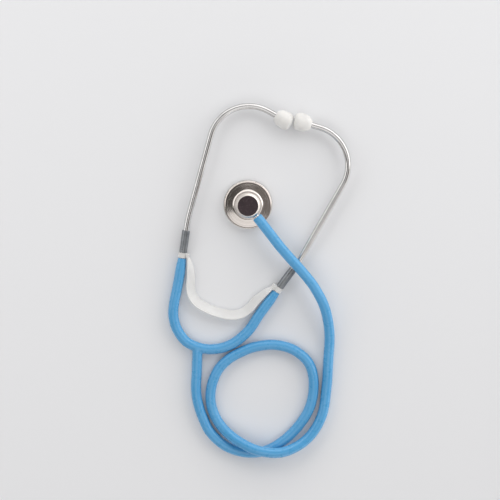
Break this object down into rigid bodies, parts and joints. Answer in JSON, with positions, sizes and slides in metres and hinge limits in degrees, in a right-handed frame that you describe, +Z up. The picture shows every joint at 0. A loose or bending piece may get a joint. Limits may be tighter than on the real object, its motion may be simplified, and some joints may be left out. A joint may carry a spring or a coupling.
{
  "type": "toy stethoscope",
  "caption": "Toy stethoscope with bent ear tubes, soft ear tips, a U spring strap, a three-way hose junction, a long looped hose and a round chestpiece.",
  "frame": {"origin": "centre of the diaphragm's outer face, which lies on the surface", "axes": "+Z up out of the surface, through the hub of the chestpiece; +Y towards the ear tips; +X to the right with the ear tips up"},
  "size_m": [0.134, 0.2625, 0.0156],
  "materials": {
    "hose": "smooth soft vinyl with a satin gloss",
    "tube_metal": "bright plated",
    "ferrule_metal": "satin",
    "ear_tip": "soft satin",
    "strap": "milky and glossy",
    "chest_metal": "turned and polished",
    "ring_metal": "polished",
    "cap": "glossy",
    "diaphragm": "smooth",
    "gasket": "matte"
  },
  "bodies": {
    "tubing": {"left_arm_hose": "hose", "right_arm_hose": "hose", "y_junction": "hose", "stem_hose": "hose", "stem_hose_end": "hose", "spring_strap": "strap"},
    "left_arm": {"left_hose_end": "hose"},
    "right_arm": {"right_hose_end": "hose"},
    "left_ear": {"left_ear_tube": "tube_metal", "left_ferrule": "ferrule_metal"},
    "right_ear": {"right_ear_tube": "tube_metal", "right_ferrule": "ferrule_metal"},
    "left_tip": {"left_ear_tip": "ear_tip"},
    "right_tip": {"right_ear_tip": "ear_tip"},
    "chestpiece": {"chestpiece_body": "chest_metal", "chestpiece_stem": "tube_metal", "hub_cap": "cap", "diaphragm": "diaphragm", "diaphragm_gasket": "gasket"},
    "ring": {"retaining_ring": "ring_metal"}
  },
  "joints": [
    {"name": "left_spread", "type": "hinge", "parent": "tubing", "child": "left_arm", "pos_m": [-0.03981, -0.06775, 0.00373], "axis": [-0.0074, -0.018, 0.9998], "range_deg": [0, 25], "stiffness_Nm_per_rad": 0.25, "deforming": ["spring_strap", "left_arm_hose"]},
    {"name": "right_spread", "type": "hinge", "parent": "tubing", "child": "right_arm", "pos_m": [-0.00593, -0.08001, 0.00376], "axis": [0.0074, 0.018, -0.9998], "range_deg": [0, 25], "stiffness_Nm_per_rad": 0.25, "deforming": ["spring_strap", "right_arm_hose"]},
    {"name": "left_ear_turn", "type": "hinge", "parent": "left_arm", "child": "left_ear", "pos_m": [-0.04768, -0.03516, 0.00426], "axis": [0.146, 0.9891, 0.0189], "range_deg": [-90, 0]},
    {"name": "right_ear_turn", "type": "hinge", "parent": "right_arm", "child": "right_ear", "pos_m": [0.02328, -0.06084, 0.00432], "axis": [0.5934, 0.8047, 0.0189], "range_deg": [0, 90]},
    {"name": "left_tip_turn", "type": "hinge", "parent": "left_ear", "child": "left_tip", "pos_m": [0.02008, 0.06555, 0.00658], "axis": [0.8797, -0.4756, -0.002], "continuous": true},
    {"name": "right_tip_turn", "type": "hinge", "parent": "right_ear", "child": "right_tip", "pos_m": [0.04616, 0.05836, 0.00664], "axis": [-0.9593, 0.2824, -0.002], "continuous": true},
    {"name": "chestpiece_turn", "type": "hinge", "parent": "tubing", "child": "chestpiece", "pos_m": [0, 0, 0.01105], "axis": [0.6157, -0.788, 0], "continuous": true},
    {"name": "ring_turn", "type": "hinge", "parent": "chestpiece", "child": "ring", "pos_m": [0, 0, 0], "axis": [0, 0, 1], "continuous": true}
  ]
}
